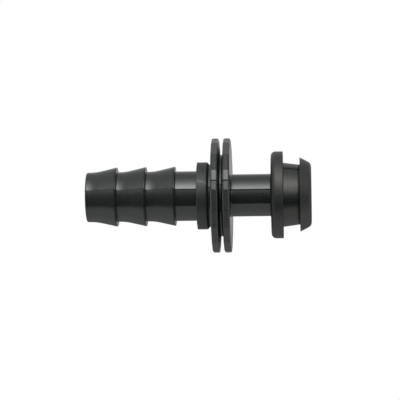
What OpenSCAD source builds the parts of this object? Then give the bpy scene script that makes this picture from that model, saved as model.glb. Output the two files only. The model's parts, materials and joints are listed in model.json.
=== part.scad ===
// Barbed drip line connector with a rubber sealing grommet on its inlet spigot.
// It stands on the grommet's end, with the hose barbs up and the water way along Z.

/* [Water way] */
// Bore of the hose side
outlet_bore_d = 9.6; // [6:0.1:10.4]
// Bore of the spigot side
inlet_bore_d = 8; // [4:0.1:8.8]
// Length of the cone that joins the two bores
bore_step_l = 0.8; // [0.4:0.1:3]
// Chamfer at each mouth of the water way
mouth_chamfer = 0.4; // [0.1:0.05:0.6]

/* [Hose barbs] */
// Number of barbs that grip the hose
barb_count = 3; // [1:1:6]
// Distance from one barb to the next
barb_pitch = 8; // [4:0.1:12]
// Diameter at the foot of each barb, and of the plain neck below them
barb_root_d = 13.4; // [12.6:0.1:15]
// Diameter over the barbs, which fits a 16 mm hose
barb_crest_d = 16.1; // [15.2:0.1:20]
// Width of the land on each crest
barb_land_w = 0.3; // [0.1:0.05:1]
// How hollow each barb's ramp is, 1 for a straight cone
barb_hollow = 1.4; // [1:0.1:2]
// Length of plain tube past the last barb
tip_l = 0.4; // [0.4:0.1:5]
// Rounding of the tip's outer edge
tip_round = 0.35; // [0.1:0.05:0.4]
// Length of the plain neck between the collar and the barbs
neck_l = 6; // [2:0.1:15]

/* [Collar] */
// Diameter of the collar that the hose stops against
collar_d = 18.35; // [17.8:0.05:21]
// Length of the collar
collar_l = 3.25; // [1.5:0.05:6]
// Chamfer on the collar's disc side
collar_chamfer = 0.25; // [0.1:0.05:0.5]
// Diameter of the low ring between the collar and the discs
hub_d = 17.1; // [16:0.1:17.6]
// Length of that ring, from the disc's flat face
hub_l = 0.85; // [0.6:0.05:4]
// Radius of the fillet between that ring and the disc
hub_fillet_r = 0.4; // [0.1:0.05:0.5]

/* [Grip discs] */
// Number of flats round each disc
disc_sides = 18; // [8:1:24]
// Width of a disc across its flats
disc_flats_w = 30.8; // [26:0.1:44]
// Radius of the rounded corners between the flats
disc_corner_r = 1.5; // [1:0.1:8]
// Thickness of a disc near its rim
disc_rim_t = 1.95; // [1.6:0.05:3]
// Thickness of a disc at the core
disc_root_t = 2.25; // [2:0.05:2.5]
// Rounding of the rim's two edges
disc_edge_r = 0.45; // [0.2:0.05:0.75]
// Width of the even land behind the rim, before the disc thickens
disc_land_w = 1.1; // [0.9:0.05:2]
// Gap between the two discs at the rim
disc_gap = 1.25; // [1.1:0.05:4]
// Diameter of the solid core between the discs
core_d = 22.3; // [19:0.1:25]

/* [Spigot] */
// Diameter of the plain spigot
spigot_d = 11.45; // [10.8:0.05:12.2]
// Length of spigot between the grommet and the discs
spigot_free_l = 10.95; // [5:0.05:25]
// Diameter over the retaining bead at the spigot's end
bead_d = 12.6; // [12.3:0.1:13.4]
// Diameter at the spigot's very end, where the bead's ramp starts
bead_tip_d = 10.6; // [10:0.1:11]
// Length of the bead's ramp
bead_ramp_l = 2.6; // [1.5:0.1:2.6]
// Width of the land on the bead
bead_land_w = 0.4; // [0.2:0.05:0.5]

/* [Grommet] */
// Clearance of the rubber round the spigot, none when it is fitted
grommet_gap = 0; // [0:0.01:0.2]
// Length of the conical head that is pushed through the pipe's hole
head_l = 3.15; // [3.1:0.05:6]
// Diameter of the head's sharp edge, which holds behind the pipe's wall
head_edge_d = 20.4; // [18.6:0.1:22]
// Diameter of the head's end before its corner is rounded
head_face_d = 17.1; // [15.8:0.1:18.4]
// Rounding of the head's nose
head_nose_r = 1.5; // [0.3:0.1:1.6]
// Length of the seat that lies in the pipe's drilled wall
seat_l = 4.55; // [1:0.05:8]
// Diameter of the seat beside the head
seat_head_d = 16.4; // [15.6:0.1:17]
// Diameter of the seat beside the ring
seat_ring_d = 17.6; // [16:0.1:18.4]
// Diameter of the ring that lies on the pipe
ring_d = 23.8; // [21:0.1:30]
// Length of the ring
ring_l = 3.3; // [1.6:0.05:6]
// Rounding of the ring's outer edge
ring_round = 1.1; // [0.2:0.1:1.4]
// Width of the small lip that closes the ring on the spigot
lip_w = 0.3; // [0.1:0.05:0.8]

/* [Hidden] */
$fn = 96;
arc_steps = 6;
corner_steps = 3;
edge_steps = 4;
ramp_steps = 6;
overcut = 1;

grommet_l = head_l + seat_l + ring_l;
lower_face_z = grommet_l + spigot_free_l;
upper_face_z = lower_face_z + 2 * disc_rim_t + disc_gap;
core_z = (lower_face_z + upper_face_z) / 2;
collar_z = upper_face_z + hub_l;
neck_z = collar_z + collar_l;
barbs_z = neck_z + neck_l;
barbs_end_z = barbs_z + barb_count * barb_pitch;
tip_z = barbs_end_z + tip_l;

disc_step = 360 / disc_sides;
flats_r = disc_flats_w / 2;
corner_x = (flats_r - disc_corner_r) / cos(disc_step / 2);
taper_r = flats_r - disc_land_w;
disc_taper = (disc_root_t - disc_rim_t) / (taper_r - core_d / 2);

// Thickness of a disc at a distance from its axis, under the slope on the groove's side
function slope_t(r) = disc_rim_t + (taper_r - r) * disc_taper;

// Points along an arc about a centre, from one angle to another
function arc(centre, r, from, to, steps = arc_steps) =
    [for (i = [0:steps]) centre + r * turned(from + (to - from) * i / steps)];

function turned(angle) = [cos(angle), sin(angle)];

// One barb, from its square back up its land and down the hollow ramp to the next foot
function barb_points(z) =
    concat(
        [[barb_root_d / 2, z], [barb_crest_d / 2, z]],
        [for (i = [0:ramp_steps - 1]) ramp_point(z, 1 - i / ramp_steps)]
    );

function ramp_point(z, share) =
    [
        barb_root_d / 2 + (barb_crest_d - barb_root_d) / 2 * pow(share, barb_hollow),
        z + barb_pitch - share * (barb_pitch - barb_land_w)
    ];

// The spigot's outline from its end up to a height, grown by a gap for the rubber round it
function spigot_points(gap, low_z, high_z) =
    [
        [0, low_z],
        [bead_tip_d / 2 + gap, low_z],
        [bead_tip_d / 2 + gap, 0],
        [bead_d / 2 + gap, bead_ramp_l],
        [bead_d / 2 + gap, bead_ramp_l + bead_land_w],
        [spigot_d / 2 + gap, bead_ramp_l + bead_land_w],
        [spigot_d / 2 + gap, high_z],
        [0, high_z]
    ];

module spigot(gap = 0, low_z = 0, high_z = core_z) {
    rotate_extrude()
        polygon(spigot_points(gap, low_z, high_z));
}

// Outline of a disc with a corner on X, drawn in from its rim by an inset
function disc_outline(inset) =
    [for (i = [0:disc_sides - 1]) each
        arc(
            corner_x * turned(i * disc_step),
            disc_corner_r - inset,
            (i - 0.5) * disc_step,
            (i + 0.5) * disc_step,
            corner_steps
        )
    ];

// A plate that stands on its flat face, with both edges of its rim rounded and a sloped face above
module grip_disc() {
    slope_end_r = (taper_r + flats_r - disc_edge_r) / 2;
    hull()
        for (i = [0:edge_steps]) {
            edge_angle = 90 * i / edge_steps;
            edge_z = disc_edge_r * (1 - sin(edge_angle));
            translate([0, 0, edge_z])
                linear_extrude(height = disc_rim_t - 2 * edge_z)
                    polygon(disc_outline(disc_edge_r * (1 - cos(edge_angle))));
        }
    rotate_extrude()
        polygon([
            [0, disc_rim_t / 2],
            [slope_end_r, disc_rim_t / 2],
            [slope_end_r, slope_t(slope_end_r)],
            [0, slope_t(0)]
        ]);
}

// Two discs, flat faces outwards, on one core
module grip_discs() {
    translate([0, 0, lower_face_z])
        grip_disc();
    translate([0, 0, upper_face_z])
        mirror([0, 0, 1])
            grip_disc();
    translate([0, 0, lower_face_z + disc_rim_t / 2])
        cylinder(h = upper_face_z - lower_face_z - disc_rim_t, d = core_d);
}

// Low ring, collar and plain neck, as one turned shape
module collar() {
    rotate_extrude()
        polygon([
            [0, core_z],
            [hub_d / 2 + hub_fillet_r, core_z],
            each arc([hub_d / 2 + hub_fillet_r, upper_face_z + hub_fillet_r], hub_fillet_r, 270, 180),
            [hub_d / 2, collar_z],
            [collar_d / 2 - collar_chamfer, collar_z],
            [collar_d / 2, collar_z + collar_chamfer],
            [collar_d / 2, neck_z],
            [barb_root_d / 2, neck_z],
            [barb_root_d / 2, barbs_z],
            [0, barbs_z]
        ]);
}

module hose_barbs() {
    rotate_extrude()
        polygon(concat(
            [[0, barbs_z]],
            [for (i = [0:barb_count - 1]) each barb_points(barbs_z + i * barb_pitch)],
            [[barb_root_d / 2, barbs_end_z]],
            arc([barb_root_d / 2 - tip_round, tip_z - tip_round], tip_round, 0, 90),
            [[0, tip_z]]
        ));
}

// Both bores meet in a short cone under the discs, and each mouth is chamfered
module water_way() {
    outlet_r = outlet_bore_d / 2;
    inlet_r = inlet_bore_d / 2;
    rotate_extrude()
        polygon([
            [0, -overcut],
            [inlet_r + mouth_chamfer + overcut, -overcut],
            [inlet_r, mouth_chamfer],
            [inlet_r, core_z - bore_step_l / 2],
            [outlet_r, core_z + bore_step_l / 2],
            [outlet_r, tip_z - mouth_chamfer],
            [outlet_r + mouth_chamfer + overcut, tip_z + overcut],
            [0, tip_z + overcut]
        ]);
}

module connector_body() {
    color("#242626")
        difference() {
            union() {
                spigot();
                grip_discs();
                collar();
                hose_barbs();
            }
            water_way();
        }
}

module rubber_grommet() {
    lean = atan2((head_edge_d - head_face_d) / 2, head_l);
    nose_x = head_face_d / 2 - head_nose_r * tan(45 - lean / 2);
    ring_z = head_l + seat_l;
    lip_r = spigot_d / 2 + lip_w;
    color("#2a2a29")
        difference() {
            rotate_extrude()
                polygon(concat(
                    [[0, 0]],
                    arc([nose_x, head_nose_r], head_nose_r, -90, -lean),
                    [
                        [head_edge_d / 2, head_l],
                        [seat_head_d / 2, head_l],
                        [seat_ring_d / 2, ring_z],
                        [ring_d / 2, ring_z]
                    ],
                    arc([ring_d / 2 - ring_round, grommet_l - ring_round], ring_round, 0, 90),
                    [
                        [lip_r, grommet_l],
                        [spigot_d / 2, grommet_l + lip_w],
                        [0, grommet_l + lip_w]
                    ]
                ));
            spigot(grommet_gap, -overcut, grommet_l + lip_w + overcut);
        }
}

connector_body();
rubber_grommet();
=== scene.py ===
import json
from math import atan2, cos, degrees, exp, pi, radians, sin, tan

import bpy
from mathutils import Matrix, Vector


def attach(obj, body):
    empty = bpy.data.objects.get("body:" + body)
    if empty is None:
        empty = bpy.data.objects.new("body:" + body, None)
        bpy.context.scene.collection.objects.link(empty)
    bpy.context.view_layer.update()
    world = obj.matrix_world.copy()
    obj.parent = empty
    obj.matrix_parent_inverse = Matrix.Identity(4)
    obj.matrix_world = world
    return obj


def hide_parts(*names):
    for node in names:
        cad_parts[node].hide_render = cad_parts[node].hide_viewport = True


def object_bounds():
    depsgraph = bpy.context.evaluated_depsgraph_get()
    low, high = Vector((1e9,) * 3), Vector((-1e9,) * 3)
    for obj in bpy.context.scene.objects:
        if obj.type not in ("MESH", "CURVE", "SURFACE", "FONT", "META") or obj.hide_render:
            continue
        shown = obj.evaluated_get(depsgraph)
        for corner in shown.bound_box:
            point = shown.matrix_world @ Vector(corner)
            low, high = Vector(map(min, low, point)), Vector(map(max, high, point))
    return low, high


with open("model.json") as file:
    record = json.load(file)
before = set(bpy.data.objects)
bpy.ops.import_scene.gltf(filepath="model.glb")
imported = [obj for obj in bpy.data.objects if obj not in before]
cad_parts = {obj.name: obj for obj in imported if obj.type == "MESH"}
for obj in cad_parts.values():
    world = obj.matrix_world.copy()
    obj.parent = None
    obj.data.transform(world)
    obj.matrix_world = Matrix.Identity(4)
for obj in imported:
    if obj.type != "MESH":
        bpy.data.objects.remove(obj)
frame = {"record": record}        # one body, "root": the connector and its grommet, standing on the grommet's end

cadLow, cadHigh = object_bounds()
mm = 0.001
white = (1, 1, 1, 1)
mounts = {mount["name"]: mount for mount in frame["record"]["mounts"]}
scene = bpy.context.scene
print("frame loaded, height", round(cadHigh.z / mm, 2), "mm")


# Small helpers for node trees

def feed(tree, value, socket):
    if isinstance(value, bpy.types.NodeSocket):
        tree.links.new(value, socket)
    else:
        socket.default_value = value


def addNode(tree, kind, values=None, **settings):
    node = tree.nodes.new(kind)
    for name, value in settings.items():
        setattr(node, name, value)
    for name, value in (values or {}).items():
        feed(tree, value, node.inputs[name])
    return node


def calc(tree, operation, *values):
    node = tree.nodes.new("ShaderNodeMath")
    node.operation = operation
    for value, socket in zip(values, node.inputs):
        feed(tree, value, socket)
    return node.outputs[0]


def remap(tree, value, low, high, newLow, newHigh, smooth=False):
    node = tree.nodes.new("ShaderNodeMapRange")
    if smooth:
        node.interpolation_type = "SMOOTHSTEP"
    for setting, socket in zip((value, low, high, newLow, newHigh), node.inputs):
        feed(tree, setting, socket)
    return node.outputs[0]


def bell(tree, aside):
    # 1 in the middle, and almost nothing from two widths aside
    return calc(tree, "EXPONENT", calc(tree, "MULTIPLY", calc(tree, "MULTIPLY", aside, aside), -1))


def noise(tree, where, scale, detail):
    values = {"Vector": where, "Scale": scale, "Detail": detail}
    return addNode(tree, "ShaderNodeTexNoise", values).outputs[0]


def painted(tree, name):
    return addNode(tree, "ShaderNodeAttribute", attribute_name=name).outputs["Fac"]


def cloudyTone(tree, cloudy, base, swing):
    # A colour that drifts a little darker and lighter than its base
    darker, lighter = (tuple(share * part for part in base) + (1,) for share in (1 - swing, 1 + swing))
    return addNode(tree, "ShaderNodeMixRGB", {
        "Fac": cloudy, "Color1": darker, "Color2": lighter,
    }, blend_type="MIX").outputs[0]


def newMaterial(name):
    material = bpy.data.materials.new(name)
    material.use_nodes = True
    tree = material.node_tree
    tree.nodes.clear()
    output = tree.nodes.new("ShaderNodeOutputMaterial")
    return material, tree, output


# Profiles: each corner is (radius, height, rounding) in millimetres. seam is how far the moulding
# line stands up there, satin how dull the surface is, and matt how much of its gloss is lost.

def corner(radius, height, rounding=0.12, seam=1, satin=0, matt=0):
    return {"at": Vector((radius, height)), "rounding": rounding, "seam": seam, "satin": satin, "matt": matt}


def leftOf(direction):
    return Vector((-direction.y, direction.x))


def roundedLoop(corners, steps, guard):
    # A guard point stands on either side of each rounding and keeps its shading off the flats
    roundingShare = 0.45        # of the shorter side next to a corner
    guardShare = 0.4            # of what the rounding leaves
    shortest = 1e-4
    points = []
    for index, here in enumerate(corners):
        before = corners[index - 1]["at"]
        after = corners[(index + 1) % len(corners)]["at"]
        inward, outward = here["at"] - before, after - here["at"]
        side = min(inward.length, outward.length)
        inward.normalize()
        outward.normalize()
        turn = atan2(inward.x * outward.y - inward.y * outward.x, inward.dot(outward))
        reach = min(here["rounding"] * abs(tan(turn / 2)), roundingShare * side)
        if reach < shortest:
            points.append((here["at"], here))
            continue
        radius = reach / abs(tan(turn / 2))
        hand = 1 if turn > 0 else -1
        start = here["at"] - inward * reach
        centre = start + leftOf(inward) * radius * hand
        edge = min(guard, guardShare * (side - reach))
        points.append((start - inward * edge, here))
        for step in range(steps + 1):
            spoke = leftOf(inward) * -radius * hand
            spoke.rotate(Matrix.Rotation(turn * step / steps, 2))
            points.append((centre + spoke, here))
        points.append((here["at"] + outward * (reach + edge), here))
    return points


def spread(places, widest):
    # Fills each gap between two angles with even steps of about this width
    full = []
    roundUp = 0.3
    for here, following in zip(places, places[1:] + [places[0] + 360]):
        count = max(1, round((following - here) / widest + roundUp))
        full += [here + (following - here) * step / count for step in range(count)]
    return full


def turnAngles(size):
    # Degrees from the moulding line: close together across both lines and round the discs' corners
    marks = {0.0, 180.0}
    for aside in size["lineSteps"]:
        marks |= {aside, 360 - aside, 180 - aside, 180 + aside}
    if size["sides"]:
        half = radians(180 / size["sides"])
        centre = (size["flatsRadius"] - size["cornerRadius"]) / cos(half)
        bend = size["cornerRadius"]
        reach = degrees(atan2(bend * sin(half), centre + bend * cos(half)))
        for index in range(size["sides"]):
            middle = (index + 0.5) * 360 / size["sides"]
            marks |= {middle + share * reach for share in size["cornerSteps"]}
    return spread(sorted(marks), size["widestStep"])


def profileMesh(name, points, angles, size):
    # The loop's own points come first, and one loose point for each angle follows them
    count = len(points)
    mesh = bpy.data.meshes.new(name)
    places = [(at.x * mm, 0, at.y * mm) for at, _ in points] + [(0, 0, 0)] * len(angles)
    mesh.from_pydata(places, [(i, (i + 1) % count) for i in range(count)], [])
    outward = mesh.attributes.new("outward", "FLOAT_VECTOR", "POINT")
    for index in range(count):
        along = points[(index + 1) % count][0] - points[index - 1][0]
        along.normalize()
        outward.data[index].vector = (along.y, 0, -along.x)
    for key in ("seam", "satin", "matt"):
        values = mesh.attributes.new(key, "FLOAT", "POINT")
        values.data.foreach_set("value", [here[key] for _, here in points] + [0.0] * len(angles))
    turns = mesh.attributes.new("turn", "FLOAT", "POINT")
    turns.data.foreach_set("value", [0.0] * count + [radians(angle) for angle in angles])
    flats = mesh.attributes.new("flat", "FLOAT", "POINT")
    flats.data.foreach_set("value", [1.0] * count + [flatGloss(angle, size) for angle in angles])
    return mesh


def flatGloss(angle, size):
    if not size["sides"]:
        return 1.0
    return size["flatGloss"].get(int(angle * size["sides"] / 180), 1.0)


# One node tree turns both profiles: it gives large radii a rounded polygon's outline, and raises
# the moulding line along the surface's own normal.

def turningTree():
    tree = bpy.data.node_groups.new("turnedMoulding", "GeometryNodeTree")
    panel = tree.interface
    panel.new_socket("Profile", in_out="INPUT", socket_type="NodeSocketGeometry")
    sizes = {}
    for name, kind in (
        ("Points", "Int"), ("Steps", "Int"), ("Line Angle", "Float"), ("Line Height", "Float"),
        ("Line Width", "Float"), ("Sides", "Float"), ("Flats Radius", "Float"),
        ("Corner Radius", "Float"), ("Round Below", "Float"), ("Outline Above", "Float"),
        ("Finish", "Material"),
    ):
        sizes[name] = panel.new_socket(name, in_out="INPUT", socket_type="NodeSocket" + kind).identifier
    panel.new_socket("Moulding", in_out="OUTPUT", socket_type="NodeSocketGeometry")
    given = tree.nodes.new("NodeGroupInput").outputs
    result = tree.nodes.new("NodeGroupOutput")

    rows = calc(tree, "ADD", given["Steps"], 1)
    columns = calc(tree, "ADD", given["Points"], 1)
    grid = addNode(tree, "GeometryNodeMeshGrid", {"Size X": 1.0, "Size Y": 1.0})
    tree.links.new(columns, grid.inputs["Vertices X"])
    tree.links.new(rows, grid.inputs["Vertices Y"])
    # Part of a step is added before each rounding, so that no small error moves an index
    index = tree.nodes.new("GeometryNodeInputIndex").outputs[0]
    column = calc(tree, "FLOOR", calc(tree, "DIVIDE", calc(tree, "ADD", index, 0.5), rows))
    row = calc(tree, "SUBTRACT", index, calc(tree, "MULTIPLY", column, rows))
    profileIndex = calc(tree, "FLOORED_MODULO", calc(tree, "ADD", column, 0.25), given["Points"])
    turnIndex = calc(tree, "FLOORED_MODULO", calc(tree, "ADD", row, 0.25), given["Steps"])
    turnIndex = calc(tree, "ADD", turnIndex, given["Points"])

    def sampled(name, kind, at=profileIndex):
        if name == "position":
            source = tree.nodes.new("GeometryNodeInputPosition").outputs[0]
        else:
            stored = addNode(tree, "GeometryNodeInputNamedAttribute", {"Name": name}, data_type=kind)
            source = stored.outputs[0]
        node = addNode(tree, "GeometryNodeSampleIndex", data_type=kind)
        tree.links.new(given["Profile"], node.inputs["Geometry"])
        tree.links.new(source, node.inputs["Value"])
        tree.links.new(at, node.inputs["Index"])
        return node.outputs[0]

    place = addNode(tree, "ShaderNodeSeparateXYZ", {"Vector": sampled("position", "FLOAT_VECTOR")}).outputs
    outward = addNode(tree, "ShaderNodeSeparateXYZ", {"Vector": sampled("outward", "FLOAT_VECTOR")}).outputs
    seam = sampled("seam", "FLOAT")

    angle = sampled("turn", "FLOAT", turnIndex)        # round the axis, 0 at the moulding line
    finish = sampled("flat", "FLOAT", turnIndex)

    # Distance to a rounded polygon with a flat at 0, from the angle to its nearest corner
    wedge = calc(tree, "DIVIDE", 2 * pi, given["Sides"])
    half = calc(tree, "DIVIDE", wedge, 2)
    shifted = calc(tree, "FLOORED_MODULO", angle, wedge)
    toCorner = calc(tree, "ABSOLUTE", calc(tree, "SUBTRACT", shifted, half))
    inset = calc(tree, "SUBTRACT", given["Flats Radius"], place["X"])
    flats = calc(tree, "SUBTRACT", given["Flats Radius"], inset)
    bend = calc(tree, "SUBTRACT", given["Corner Radius"], inset)
    centre = calc(tree, "DIVIDE", calc(tree, "SUBTRACT", given["Flats Radius"], given["Corner Radius"]),
                  calc(tree, "COSINE", half))
    onFlat = calc(tree, "DIVIDE", flats, calc(tree, "COSINE", calc(tree, "SUBTRACT", half, toCorner)))
    across = calc(tree, "MULTIPLY", centre, calc(tree, "SINE", toCorner))
    deep = calc(tree, "SUBTRACT", calc(tree, "MULTIPLY", bend, bend), calc(tree, "MULTIPLY", across, across))
    root = calc(tree, "SQRT", calc(tree, "MAXIMUM", deep, 0))
    onArc = calc(tree, "ADD", calc(tree, "MULTIPLY", centre, calc(tree, "COSINE", toCorner)), root)
    tangentUp = calc(tree, "MULTIPLY", bend, calc(tree, "SINE", half))
    tangentOut = calc(tree, "ADD", centre, calc(tree, "MULTIPLY", bend, calc(tree, "COSINE", half)))
    tangent = calc(tree, "ARCTAN2", tangentUp, tangentOut)
    pastTangent = calc(tree, "GREATER_THAN", toCorner, tangent)
    outline = calc(tree, "ADD", calc(tree, "MULTIPLY", onFlat, pastTangent),
                   calc(tree, "MULTIPLY", onArc, calc(tree, "SUBTRACT", 1, pastTangent)))
    share = remap(tree, place["X"], given["Round Below"], given["Outline Above"], 0, 1)
    radius = calc(tree, "ADD", place["X"],
                  calc(tree, "MULTIPLY", share, calc(tree, "SUBTRACT", outline, place["X"])))

    onRim = remap(tree, place["X"], given["Outline Above"], given["Flats Radius"], 0, 1)
    rimGloss = calc(tree, "ADD", 1, calc(tree, "MULTIPLY", onRim, calc(tree, "SUBTRACT", finish, 1)))

    # The line is a low rounded ridge, as wide on a small radius as on a large one
    aside = calc(tree, "MULTIPLY", radius, calc(tree, "SINE", angle))
    ridge = bell(tree, calc(tree, "DIVIDE", aside, given["Line Width"]))
    lift = calc(tree, "MULTIPLY", calc(tree, "MULTIPLY", ridge, given["Line Height"]), seam)
    radius = calc(tree, "ADD", radius, calc(tree, "MULTIPLY", lift, outward["X"]))
    height = calc(tree, "ADD", place["Z"], calc(tree, "MULTIPLY", lift, outward["Z"]))

    turned = calc(tree, "ADD", angle, given["Line Angle"])
    position = addNode(tree, "ShaderNodeCombineXYZ", {
        "X": calc(tree, "MULTIPLY", radius, calc(tree, "COSINE", turned)),
        "Y": calc(tree, "MULTIPLY", radius, calc(tree, "SINE", turned)),
        "Z": height,
    }).outputs[0]
    kept = grid
    for key, value in (
        ("satin", sampled("satin", "FLOAT")),
        ("matt", sampled("matt", "FLOAT")),
        ("line", calc(tree, "MULTIPLY", ridge, seam)),
        ("flat", rimGloss),
    ):
        kept = addNode(tree, "GeometryNodeStoreNamedAttribute", {"Geometry": kept.outputs[0], "Name": key},
                       data_type="FLOAT", domain="POINT")
        tree.links.new(value, kept.inputs["Value"])
    placed = addNode(tree, "GeometryNodeSetPosition", {"Geometry": kept.outputs[0], "Position": position})
    joined = addNode(tree, "GeometryNodeMergeByDistance", {"Geometry": placed.outputs[0], "Distance": 1e-7})
    smooth = addNode(tree, "GeometryNodeSetShadeSmooth", {"Geometry": joined.outputs[0]})
    real = addNode(tree, "GeometryNodeRealizeInstances", {"Geometry": smooth.outputs[0]})
    finished = addNode(tree, "GeometryNodeSetMaterial", {"Geometry": real.outputs[0]})
    tree.links.new(given["Finish"], finished.inputs["Material"])
    tree.links.new(finished.outputs[0], result.inputs[0])
    return tree, sizes


def turnProfile(name, corners, settings, material):
    points = roundedLoop(corners, settings["roundingSteps"], settings["guard"])
    angles = turnAngles(settings)
    holder = bpy.data.objects.new(name + "Profile", profileMesh(name + "Profile", points, angles, settings))
    scene.collection.objects.link(holder)
    modifier = holder.modifiers.new("turning", "NODES")
    modifier.node_group = turning
    lengths = {
        "Line Height": settings["lineHeight"],
        "Line Width": settings["lineWidth"],
        "Flats Radius": settings["flatsRadius"],
        "Corner Radius": settings["cornerRadius"],
        "Round Below": settings["roundBelow"],
        "Outline Above": settings["outlineAbove"],
    }
    for key, value in lengths.items():
        modifier[turningSockets[key]] = value * mm
    modifier[turningSockets["Points"]] = len(points)
    modifier[turningSockets["Steps"]] = len(angles)
    modifier[turningSockets["Line Angle"]] = radians(settings["lineAngle"])
    modifier[turningSockets["Sides"]] = float(settings["sides"] or 8)      # not seen on a round piece
    modifier[turningSockets["Finish"]] = material
    graph = bpy.context.evaluated_depsgraph_get()
    mesh = bpy.data.meshes.new_from_object(holder.evaluated_get(graph), depsgraph=graph)
    mesh.name = name
    bpy.data.objects.remove(holder)
    piece = bpy.data.objects.new(name, mesh)
    scene.collection.objects.link(piece)
    print(name, "has", len(points), "profile points,", len(angles), "turn steps and",
          2 * len(mesh.polygons), "triangles")
    return piece


turning, turningSockets = turningTree()


# The connector's body: water way, spigot, grip discs, collar, neck and hose barbs

connector = {
    "outletRadius": mounts["outlet_bore"]["dims"]["r_mm"],
    "inletRadius": mounts["inlet_bore"]["dims"]["r_mm"],
    "boreStep": 0.8,
    "mouthChamfer": 0.4,
    "boreEdge": 0.1,            # small roundings at the mouths, and inside where the bores meet
    "boreBend": 0.2,
    "tipHeight": cadHigh.z / mm,
    "barbs": 3,
    "barbPitch": 8.0,
    "rootRadius": 6.82,
    "crestRadius": 8.1,
    "barbLand": 0.3,
    "barbFoot": 0.5,            # plain tube before the next ramp starts
    "barbBlend": 3.3,           # length over which the ramp bends up to its full slope
    "blendSteps": 14,
    "barbSeam": 0.3,
    "barbSatin": 0.3,           # the ramps are a little duller than the neck
    "backMatt": 1.0,            # the square backs have no gloss, and the lands little
    "crestMatt": 0.8,
    "landMatt": 0.7,
    "crestEdge": 0.06,
    "landEdge": 0.25,
    "footShade": 0.42,          # how far a back's loss of gloss reaches onto the tube
    "crestShade": 0.15,         # and onto the ramp
    "tipLength": 0.4,
    "tipRounding": 0.35,
    "tipSeam": 0.5,
    "neckLength": 6.0,
    "neckFillet": 0.15,
    "collarRadius": 9.2,
    "collarLength": 3.25,
    "collarChamfer": 0.5,
    "collarSeam": 0.25,
    "collarLowEdge": 0.3,
    "collarTopEdge": 0.2,
    "hubRadius": 8.55,
    "hubLength": 0.85,
    "hubFillet": 0.4,
    "hubEdge": 0.1,
    "sides": 18,
    "flatsRadius": 15.48,
    "cornerRadius": 1.0,
    "cornerSteps": (-1.25, -1, -0.5, 0, 0.5, 1, 1.25),      # in half widths of a rounded corner
    "rimThickness": 1.95,
    "rootThickness": 2.25,
    "rimRounding": 0.45,
    "rimLand": 1.1,
    "taperBend": 0.3,
    "discGap": 1.25,
    "coreRadius": 11.15,
    "coreFillet": 0.15,
    "coreSatin": 0.5,
    "spigotRadius": 5.79,
    "spigotFillet": 0.4,
    "beadRadius": 6.3,
    "beadTipRadius": 5.3,
    "beadRamp": 2.6,
    "beadLand": 0.4,
    "beadBend": 0.2,
    "edge": 0.1,
    "rimSatin": 0.3,            # the discs are smoother than the collar
    # Gloss of the rims' half flats against the rest, counted from the moulding line
    "flatGloss": {0: 1.2, 1: 0.6, 2: 0.6, 3: 2.2, 4: 2.2, 5: 0.7, 6: 0.7, 33: 2.5, 34: 2.5, 35: 0.75},
    "lineAngle": -90.0,
    "lineHeight": 0.07,
    "lineWidth": 0.11,
    "lineSteps": (0.2, 0.4, 0.6, 0.85, 1.15, 1.5, 2.0, 2.8),        # degrees beside the line
    "widestStep": 2.6,
    "roundingSteps": 4,
    "guard": 0.05,
}


def discCorners(face, side, size):
    # From the flat outer face over the rim to the core; side is 1 for the disc that stands on its face
    rim, taperRadius = size["flatsRadius"], size["flatsRadius"] - size["rimLand"]
    near, deep = side * size["rimThickness"], side * size["rootThickness"]
    satin = size["rimSatin"]
    return [
        corner(rim, face, size["rimRounding"], satin=satin),
        corner(rim, face + near, size["rimRounding"], satin=satin),
        corner(taperRadius, face + near, size["taperBend"], satin=satin),
        corner(size["coreRadius"], face + deep, size["coreFillet"], satin=size["coreSatin"]),
    ]


def barbCorners(foot, size):
    # From the tube over the square back and the land, then down the ramp to the next barb's foot
    root, crest = size["rootRadius"], size["crestRadius"]
    seam, satin, shade = size["barbSeam"], size["barbSatin"], size["crestShade"]
    land = foot + size["barbLand"]
    run = size["barbPitch"] - size["barbLand"] - size["barbFoot"]
    slope = (crest - root) / (run - size["barbBlend"] / 2)
    corners = [
        corner(root, foot - size["footShade"], rounding=0),
        corner(root, foot, size["edge"], matt=size["backMatt"]),
        corner(crest, foot, size["crestEdge"], seam, matt=size["crestMatt"]),
        corner(crest, land, size["landEdge"], seam, matt=size["landMatt"]),
        corner(crest - slope * shade, land + shade, 0, seam, satin),
    ]
    for step in range(size["blendSteps"] + 1):
        left = size["barbBlend"] * (1 - step / size["blendSteps"])
        radius = root + slope * left ** 2 / (2 * size["barbBlend"])
        corners.append(corner(radius, land + run - left, 0, seam, satin))
    return corners


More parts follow.
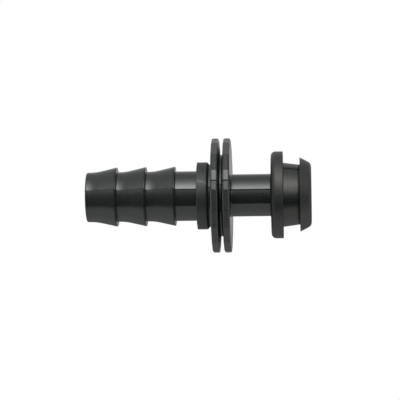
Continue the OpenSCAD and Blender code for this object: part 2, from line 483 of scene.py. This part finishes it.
def connectorCorners(size):
    top = size["tipHeight"]
    barbsStart = top - size["tipLength"] - size["barbs"] * size["barbPitch"]
    neckStart = barbsStart - size["neckLength"]
    collarStart = neckStart - size["collarLength"]
    upperFace = collarStart - size["hubLength"]
    lowerFace = upperFace - 2 * size["rimThickness"] - size["discGap"]
    middle = (upperFace + lowerFace) / 2
    edge, chamfer = size["edge"], size["mouthChamfer"]
    inlet, outlet = size["inletRadius"], size["outletRadius"]
    boreEdge, boreBend = size["boreEdge"], size["boreBend"]
    beadRadius, beadEnd = size["beadRadius"], size["beadRamp"] + size["beadLand"]
    collar, collarChamfer, collarSeam = size["collarRadius"], size["collarChamfer"], size["collarSeam"]

    corners = [
        corner(inlet, chamfer, boreEdge, seam=0),
        corner(inlet + chamfer, 0, boreEdge, seam=0),
        corner(size["beadTipRadius"], 0, edge, seam=0),
        corner(beadRadius, size["beadRamp"], size["beadBend"], seam=0),
        corner(beadRadius, beadEnd, edge, seam=0),
        corner(size["spigotRadius"], beadEnd, edge),
        corner(size["spigotRadius"], lowerFace, size["spigotFillet"]),
    ]
    corners += discCorners(lowerFace, 1, size)
    corners += reversed(discCorners(upperFace, -1, size))
    corners += [
        corner(size["hubRadius"], upperFace, size["hubFillet"], satin=size["rimSatin"]),
        corner(size["hubRadius"], collarStart, size["hubEdge"], satin=1),
        corner(collar - collarChamfer, collarStart, edge, collarSeam, satin=1),
        corner(collar, collarStart + collarChamfer, size["collarLowEdge"], collarSeam, satin=1),
        corner(collar, neckStart, size["collarTopEdge"], collarSeam, satin=1),
        corner(size["rootRadius"], neckStart, size["neckFillet"]),
    ]
    for barb in range(size["barbs"]):
        corners += barbCorners(barbsStart + barb * size["barbPitch"], size)
    corners += [
        corner(size["rootRadius"], top, size["tipRounding"], size["tipSeam"]),
        corner(outlet + chamfer, top, boreEdge, seam=0),
        corner(outlet, top - chamfer, boreEdge, seam=0),
        corner(outlet, middle + size["boreStep"] / 2, boreBend, seam=0),
        corner(inlet, middle - size["boreStep"] / 2, boreBend, seam=0),
    ]
    return corners, {
        "roundBelow": size["flatsRadius"] - size["rimLand"],
        "outlineAbove": size["flatsRadius"] - size["rimRounding"],
    }


def glossLeft(tree, look):
    left = calc(tree, "MULTIPLY", look["gloss"], painted(tree, "flat"))
    for name, loss in (("matt", look["mattLoss"]), ("line", look["lineLoss"])):
        lost = calc(tree, "MULTIPLY", painted(tree, name), loss)
        left = calc(tree, "MULTIPLY", left, calc(tree, "SUBTRACT", 1, lost))
    return left


def scuffHighlightMask(tree, look, where):
    # A short pale line across the collar, a little aslant, laid where the collar's highlight falls: a rubbed mark
    # that is partly a painted highlight
    turn = radians(look["scuffHighlightTurn"])
    place = addNode(tree, "ShaderNodeSeparateXYZ", {"Vector": where}).outputs
    outward = calc(tree, "ADD", calc(tree, "MULTIPLY", place["X"], cos(turn)),
                   calc(tree, "MULTIPLY", place["Y"], sin(turn)))
    aside = calc(tree, "SUBTRACT", calc(tree, "MULTIPLY", place["Y"], cos(turn)),
                 calc(tree, "MULTIPLY", place["X"], sin(turn)))
    low, high = look["scuffHighlightBetween"]
    along = calc(tree, "SUBTRACT", place["Z"], (low + high) / 2 * mm)
    aside = calc(tree, "SUBTRACT", aside, calc(tree, "MULTIPLY", along, look["scuffHighlightLean"]))
    stripe = bell(tree, calc(tree, "DIVIDE", aside, look["scuffHighlightWide"] * mm))
    onCollar = calc(tree, "MULTIPLY", calc(tree, "GREATER_THAN", place["Z"], low * mm),
                    calc(tree, "LESS_THAN", place["Z"], high * mm))
    uneven = noise(tree, where, look["scuffHighlightScale"], detail=2.0)
    strength = remap(tree, uneven, *look["scuffHighlightNoise"], look["scuffHighlightFaintest"], 1)
    rubbed = calc(tree, "MULTIPLY", stripe, strength)
    front = calc(tree, "GREATER_THAN", outward, 0)
    return calc(tree, "MULTIPLY", calc(tree, "MULTIPLY", rubbed, onCollar), front)


def bodyPlastic():
    material, tree, output = newMaterial("blackMouldedPlastic")
    look = {
        "base": (0.0118, 0.0148, 0.014),
        "toneSwing": 0.1,
        "polished": 0.14,
        "satin": 0.5,
        "mottle": 0.1,              # swing of the roughness where it is dull, and the share elsewhere
        "mottleShare": 0.35,
        "cloudScale": 700.0,
        "grainScale": 5200.0,
        "grain": 0.012,
        "grainStrength": 0.12,
        "gloss": 0.5,
        "mattLoss": 0.85,           # share of the gloss lost in the barbs' square backs
        "lineLoss": 0.9,            # and on the moulding line
        # A pale stripe on the collar's lit side, at its highlight's turn: partly a rubbed mark, partly a painted
        # highlight
        "scuffHighlightTurn": -81.6,
        "scuffHighlightBetween": (28.2, 31.1),
        "scuffHighlightLean": 0.28,
        "scuffHighlightWide": 0.42,
        "scuffHighlightScale": 1500.0,
        "scuffHighlightNoise": (0.3, 0.7),       # it is faintest where its noise is low, and whole where high
        "scuffHighlightFaintest": 0.4,
        "scuffHighlightPale": 0.06,
    }
    where = tree.nodes.new("ShaderNodeTexCoord").outputs["Object"]
    dull = painted(tree, "satin")
    cloudy = noise(tree, where, look["cloudScale"], detail=3.0)
    fine = noise(tree, where, look["grainScale"], detail=2.0)
    rough = calc(tree, "ADD", look["polished"],
                 calc(tree, "MULTIPLY", dull, look["satin"] - look["polished"]))
    swing = calc(tree, "MULTIPLY", calc(tree, "SUBTRACT", cloudy, 0.5), look["mottle"])
    swing = calc(tree, "MULTIPLY", swing, calc(tree, "ADD", dull, look["mottleShare"]))
    rough = calc(tree, "ADD", rough, swing)
    tone = cloudyTone(tree, cloudy, look["base"], look["toneSwing"])
    # The pale stripe is added into the colour here, so it is a painted highlight as well as a rubbed mark
    toneWithScuffHighlight = addNode(tree, "ShaderNodeMixRGB", {
        "Fac": scuffHighlightMask(tree, look, where), "Color1": tone, "Color2": (look["scuffHighlightPale"],) * 3 + (1,),
    }, blend_type="ADD")
    bump = addNode(tree, "ShaderNodeBump", {
        "Height": fine, "Strength": look["grainStrength"], "Distance": look["grain"] * mm,
    })
    shader = addNode(tree, "ShaderNodeBsdfPrincipled", {
        "Base Color": toneWithScuffHighlight.outputs[0], "Roughness": rough, "Normal": bump.outputs[0], "IOR": 1.5,
        "Specular IOR Level": glossLeft(tree, look),
    })
    tree.links.new(shader.outputs[0], output.inputs["Surface"])
    return material


corners, outlineRadii = connectorCorners(connector)
connectorPiece = turnProfile("mouldedConnector", corners, {**connector, **outlineRadii}, bodyPlastic())
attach(connectorPiece, "root")
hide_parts("connector_body")
print("connector made")


# The rubber grommet: conical head, seat for the pipe's wall, and outer ring

grommet = {
    "headLength": 3.15,
    "headEdgeRadius": 10.2,
    "headFaceRadius": 8.55,
    "noseRounding": 1.5,
    "headSeam": 0.1,            # on the head and the ring the line hardly shows
    "seatLength": 4.55,
    "seatHeadRadius": 8.2,
    "seatRingRadius": 8.8,
    "ringRadius": 11.9,
    "ringLength": 3.3,
    "ringRounding": 1.25,
    "ringEdge": 0.12,
    "lip": 0.3,
    "lipEdge": 0.05,
    "fillet": 0.15,
    "edge": 0.08,
    "shadeLength": 0.6,         # the seat's gloss is lost this near the head
    "lineAngle": -49.8,
    "lineHeight": 0.03,
    "lineWidth": 0.42,
    "lineSteps": (0.3, 0.6, 0.9, 1.2, 1.6, 2.0, 2.6, 3.4),
    "widestStep": 1.8,
    "roundingSteps": 6,
    "guard": 0.05,
    "sides": 0,                 # round all the way, so the radii below lie past its ring
    "flatsRadius": 20.0,
    "cornerRadius": 8.0,
    "roundBelow": 18.0,
    "outlineAbove": 19.0,
}


def grommetCorners(size, spigot):
    ringStart = size["headLength"] + size["seatLength"]
    end = ringStart + size["ringLength"]
    beadEnd = spigot["beadRamp"] + spigot["beadLand"]
    edge, fillet, seam = size["edge"], size["fillet"], size["headSeam"]
    seatStart, seatRadius, shade = size["headLength"], size["seatHeadRadius"], size["shadeLength"]
    lean = (size["seatRingRadius"] - seatRadius) / size["seatLength"]
    return [
        corner(spigot["beadTipRadius"], 0, edge, seam=0, satin=1),
        corner(size["headFaceRadius"], 0, size["noseRounding"], seam, satin=1),
        corner(size["headEdgeRadius"], seatStart, edge, seam, satin=1),
        corner(seatRadius, seatStart, fillet, matt=1),
        corner(seatRadius + lean * shade / 2, seatStart + shade / 2, rounding=0, matt=1),
        corner(seatRadius + lean * shade, seatStart + shade, rounding=0),
        corner(size["seatRingRadius"], ringStart, fillet),
        corner(size["ringRadius"], ringStart, size["ringEdge"], seam, satin=1),
        corner(size["ringRadius"], end, size["ringRounding"], seam, satin=1),
        corner(spigot["spigotRadius"] + size["lip"], end, fillet, seam, satin=1),
        corner(spigot["spigotRadius"], end + size["lip"], size["lipEdge"], seam=0),
        corner(spigot["spigotRadius"], beadEnd, edge, seam=0),
        corner(spigot["beadRadius"], beadEnd, edge, seam=0),
        corner(spigot["beadRadius"], spigot["beadRamp"], spigot["beadBend"], seam=0),
    ]


def grommetRubber():
    material, tree, output = newMaterial("blackMouldedRubber")
    look = {
        "base": (0.0088, 0.0116, 0.0118),
        "toneSwing": 0.15,
        "smooth": 0.31,             # on the seat
        "dull": 0.45,               # on the head and the ring
        "gloss": 0.5,
        "glossTint": (1, 1, 0.93, 1),
        "mattLoss": 0.75,
        "lineLoss": 0.95,
        "mottle": 0.1,
        "cloudScale": 600.0,
        "grainScale": 4200.0,
        "grainHeight": 0.4,
        "ringScale": 3400.0,        # uneven fine rings on the seat
        "ringHeight": 2.6,
        "ringPitch": 0.551,         # and even ones, which only sway the gloss
        "ringGloss": 0.13,
        "bumpStrength": 0.5,
        "bumpHeight": 0.014,
    }
    where = tree.nodes.new("ShaderNodeTexCoord").outputs["Object"]
    height = addNode(tree, "ShaderNodeSeparateXYZ", {"Vector": where}).outputs["Z"]
    cloudy = noise(tree, where, look["cloudScale"], detail=4.0)
    fine = noise(tree, where, look["grainScale"], detail=3.0)
    dull = painted(tree, "satin")
    rough = calc(tree, "ADD", look["smooth"], calc(tree, "MULTIPLY", dull, look["dull"] - look["smooth"]))
    swing = calc(tree, "MULTIPLY", calc(tree, "SUBTRACT", cloudy, 0.5), look["mottle"])
    rough = calc(tree, "ADD", rough, swing)
    seatStart = grommet["headLength"]
    above = calc(tree, "GREATER_THAN", height, seatStart * mm)
    below = calc(tree, "LESS_THAN", height, (seatStart + grommet["seatLength"]) * mm)
    onSeat = calc(tree, "MULTIPLY", above, below)
    rings = addNode(tree, "ShaderNodeTexNoise", {"Scale": look["ringScale"], "Detail": 1.0},
                    noise_dimensions="1D")
    tree.links.new(height, rings.inputs["W"])
    grooves = calc(tree, "MULTIPLY", rings.outputs[0], onSeat)
    wave = calc(tree, "SINE", calc(tree, "MULTIPLY", height, 2 * pi / (look["ringPitch"] * mm)))
    sway = calc(tree, "MULTIPLY", calc(tree, "MULTIPLY", wave, onSeat), look["ringGloss"])
    gloss = calc(tree, "MULTIPLY", glossLeft(tree, look), calc(tree, "ADD", 1, sway))
    relief = calc(tree, "ADD", calc(tree, "MULTIPLY", grooves, look["ringHeight"]),
                  calc(tree, "MULTIPLY", fine, look["grainHeight"]))
    tone = cloudyTone(tree, cloudy, look["base"], look["toneSwing"])
    bump = addNode(tree, "ShaderNodeBump", {
        "Height": relief, "Strength": look["bumpStrength"], "Distance": look["bumpHeight"] * mm,
    })
    shader = addNode(tree, "ShaderNodeBsdfPrincipled", {
        "Base Color": tone, "Roughness": rough, "Normal": bump.outputs[0], "IOR": 1.5,
        "Specular IOR Level": gloss, "Specular Tint": look["glossTint"],
    })
    tree.links.new(shader.outputs[0], output.inputs["Surface"])
    return material


grommetPiece = turnProfile("mouldedGrommet", grommetCorners(grommet, connector), grommet, grommetRubber())
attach(grommetPiece, "root")
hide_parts("rubber_grommet")
print("grommet made")


# Camera: square to the part's axis, with the hose tip to the left

shot = {
    "bearing": -105.6,          # where the camera stands round the axis
    "aimHeight": 30.55,
    "aimDrop": 1.115,           # the part lies a little above the picture's middle
    "distance": 540.0,
    "rise": 2.9,                # the camera looks this much towards the tip
    "roll": 0.79,
    "lens": 177.1,
}
bearing = radians(shot["bearing"])
toCamera = Vector((cos(bearing), sin(bearing), 0))
pictureUp = Vector((-sin(bearing), cos(bearing), 0))
axisUp = Vector((0, 0, 1))


def makeCamera():
    rise, roll = radians(shot["rise"]), radians(shot["roll"])
    back = toCamera * cos(rise) - axisUp * sin(rise)
    aim = axisUp * shot["aimHeight"] * mm - pictureUp * shot["aimDrop"] * mm
    level = pictureUp.cross(back)
    right = level * cos(roll) - pictureUp * sin(roll)
    up = pictureUp * cos(roll) + level * sin(roll)
    data = bpy.data.cameras.new("camera")
    data.lens = shot["lens"]
    data.sensor_width = 36.0
    data.clip_start, data.clip_end = 0.01, 20.0
    camera = bpy.data.objects.new("camera", data)
    camera.matrix_world = Matrix((
        (right.x, up.x, back.x, 0), (right.y, up.y, back.y, 0), (right.z, up.z, back.z, 0), (0, 0, 0, 1),
    ))
    camera.location = aim + back * shot["distance"] * mm
    scene.collection.objects.link(camera)
    scene.camera = camera


makeCamera()
print("camera placed")


# Light: one soft light above the picture, whose lower edge lies where the tubes' moulding line
# turns it to the camera, and a tent round the rest that only the gloss reflects. Angles are
# degrees round the part from the camera's side towards the top of the picture.

studio = {
    "radius": 0.55,
    "sheetLow": -0.95,
    "sheetHigh": 0.6,
    "sheetColumns": 72,
    "sheetRows": 96,
    "worldFill": 0.62,
    "lightFrom": 30.8,
    "lightTo": 135.0,
    "lightLow": 0.6,
    "lightLowAbove": 0.95,      # the same at the barbs' height, reached over these heights and turns
    "lowHeights": (0.12, 0.25),
    "lowTurns": (125, 65),
    "lightPeak": 8.6,
    "lightMiddle": 38.0,
    "lightSpread": 26.0,
    "lightFall": 1.5,
    "lightHeight": 0.095,       # it is brightest at this height, and fades faster above than below
    "lightAbove": 0.062,
    "lightBelow": 0.26,
    "upperPeak": 2.0,           # a faint second part further up, which the first barb's cone shows
    "upperFrom": 0.35,
    "upperTo": 0.4,
    "darkTo": -47.0,            # the dark front ends here, and the pale lower side begins
    "darkMiddle": 0.16,
    "darkFade": 17.0,
    "darkLower": 0.14,          # the dark front is less dark below the spigot's height
    "lowerHeights": (0.09, -0.01),
    "wing": 2.6,                # and there the soft light reaches further round
    "wingHeight": -0.18,
    "wingTall": 0.11,
    "wingFrom": 0.0,
    "wingTo": 14.0,
    "lowerLift": 0.3,           # the pale lower side is paler below the part
    "liftHeights": (0, -0.5),
    "tentGlow": (
        (-225, 0.6), (-205, 0.68), (-185, 0.6), (-172, 0.25), (-150, 0.3), (-136, 0.36),
        (-115, 0.7), (-99, 0.76), (-85, 0.87), (-75, 0.9), (-47, 0.9),
    ),
    "floorRadius": 0.16,
    "floorSides": 96,
    "floorDrop": 0.05,
    "floorLit": 0.2,            # its share of real shading where it is seen, the rest being plain glow
    "floorGlow": 1.12,
}


def seesBackdrop(tree):
    path = tree.nodes.new("ShaderNodeLightPath").outputs
    seen = calc(tree, "MAXIMUM", path["Is Camera Ray"], path["Is Glossy Ray"])
    return calc(tree, "MAXIMUM", seen, path["Is Transmission Ray"])


def lightWorld():
    world = bpy.data.worlds.new("whiteSurround")
    world.use_nodes = True
    tree = world.node_tree
    tree.nodes.clear()
    strength = remap(tree, seesBackdrop(tree), 0, 1, studio["worldFill"], 1)
    background = addNode(tree, "ShaderNodeBackground", {"Color": white, "Strength": strength})
    output = tree.nodes.new("ShaderNodeOutputWorld")
    tree.links.new(background.outputs[0], output.inputs["Surface"])
    scene.world = world


def curvedSheet(name, fromAngle, toAngle, glow):
    low, high = studio["sheetLow"], studio["sheetHigh"]
    columns, rows = studio["sheetColumns"], studio["sheetRows"]
    places, values = [], []
    for column in range(columns + 1):
        turn = fromAngle + (toAngle - fromAngle) * column / columns
        side = toCamera * cos(radians(turn)) + pictureUp * sin(radians(turn))
        for row in range(rows + 1):
            height = low + (high - low) * row / rows
            places.append(side * studio["radius"] + axisUp * height)
            values.append(glow(turn, height))
    faces = []
    for column in range(columns):
        for row in range(rows):
            first = column * (rows + 1) + row
            faces.append((first, first + 1, first + rows + 2, first + rows + 1))
    mesh = bpy.data.meshes.new(name)
    mesh.from_pydata(places, [], faces)
    attribute = mesh.attributes.new("glow", "FLOAT", "POINT")
    attribute.data.foreach_set("value", values)
    material, tree, output = newMaterial(name)
    emission = addNode(tree, "ShaderNodeEmission", {"Color": white, "Strength": painted(tree, "glow")})
    tree.links.new(emission.outputs[0], output.inputs["Surface"])
    mesh.materials.append(material)
    sheet = bpy.data.objects.new(name, mesh)
    scene.collection.objects.link(sheet)
    sheet.visible_camera = False
    return sheet


def ramp(value, start, end):
    return min(1, max(0, (value - start) / (end - start)))


def softLightGlow(turn, height):
    above = height - studio["lightHeight"]
    tall = exp(-(above / studio["lightAbove"]) ** 2) if above > 0 else exp(above / studio["lightBelow"])
    wide = exp(-max(0, (turn - studio["lightMiddle"]) / studio["lightSpread"]) ** studio["lightFall"])
    lift = ramp(height, *studio["lowHeights"]) * ramp(turn, *studio["lowTurns"])
    low = studio["lightLow"] + (studio["lightLowAbove"] - studio["lightLow"]) * lift
    upper = studio["upperPeak"] * ramp(height, studio["upperFrom"], studio["upperTo"])
    return low + (studio["lightPeak"] * tall + upper) * wide


def tentGlow(turn, height):
    if turn >= studio["lightTo"]:
        turn -= 360
    lower = ramp(height, *studio["lowerHeights"])
    if turn >= studio["darkTo"]:
        dark = (studio["darkMiddle"] + studio["darkLower"] * lower) * exp(turn / studio["darkFade"])
        tall = exp(-((height - studio["wingHeight"]) / studio["wingTall"]) ** 2)
        return dark + studio["wing"] * tall * ramp(turn, studio["wingFrom"], studio["wingTo"])
    lift = 1 + studio["lowerLift"] * ramp(height, *studio["liftHeights"])
    marks = studio["tentGlow"]
    for (before, low), (after, high) in zip(marks, marks[1:]):
        if before <= turn <= after:
            return lift * (low + (high - low) * (turn - before) / (after - before))
    return lift * marks[0][1]


def makeFloor():
    mesh = bpy.data.meshes.new("floor")
    around = studio["floorSides"]
    places = [(cos(2 * pi * i / around), sin(2 * pi * i / around), 0) for i in range(around)]
    drop = Vector((0, 0, -studio["floorDrop"] * mm))
    mesh.from_pydata([Vector(p) * studio["floorRadius"] + drop for p in places], [], [tuple(range(around))])
    material, tree, output = newMaterial("paleFloor")
    lit = addNode(tree, "ShaderNodeBsdfDiffuse", {"Color": white})
    shining = addNode(tree, "ShaderNodeEmission", {"Color": white, "Strength": studio["floorGlow"]})
    share = calc(tree, "MULTIPLY", seesBackdrop(tree), 1 - studio["floorLit"])
    mixed = addNode(tree, "ShaderNodeMixShader", {"Fac": share})
    tree.links.new(lit.outputs[0], mixed.inputs[1])
    tree.links.new(shining.outputs[0], mixed.inputs[2])
    tree.links.new(mixed.outputs[0], output.inputs["Surface"])
    mesh.materials.append(material)
    floor = bpy.data.objects.new("floor", mesh)
    floor.visible_glossy = False        # so that the gloss sees the tent below it too
    scene.collection.objects.link(floor)


lightWorld()
makeFloor()
curvedSheet("softLight", studio["lightFrom"], studio["lightTo"], softLightGlow)
for name, start, end in (
    ("tentFront", studio["darkTo"], studio["lightFrom"]),
    ("tentBack", studio["lightTo"], studio["darkTo"] + 359.9),        # just short of the front
):
    tent = curvedSheet(name, start, end, tentGlow)
    tent.visible_diffuse = False
    tent.visible_shadow = False
    tent.visible_transmission = False
scene.view_settings.view_transform = "Standard"
print("light set")
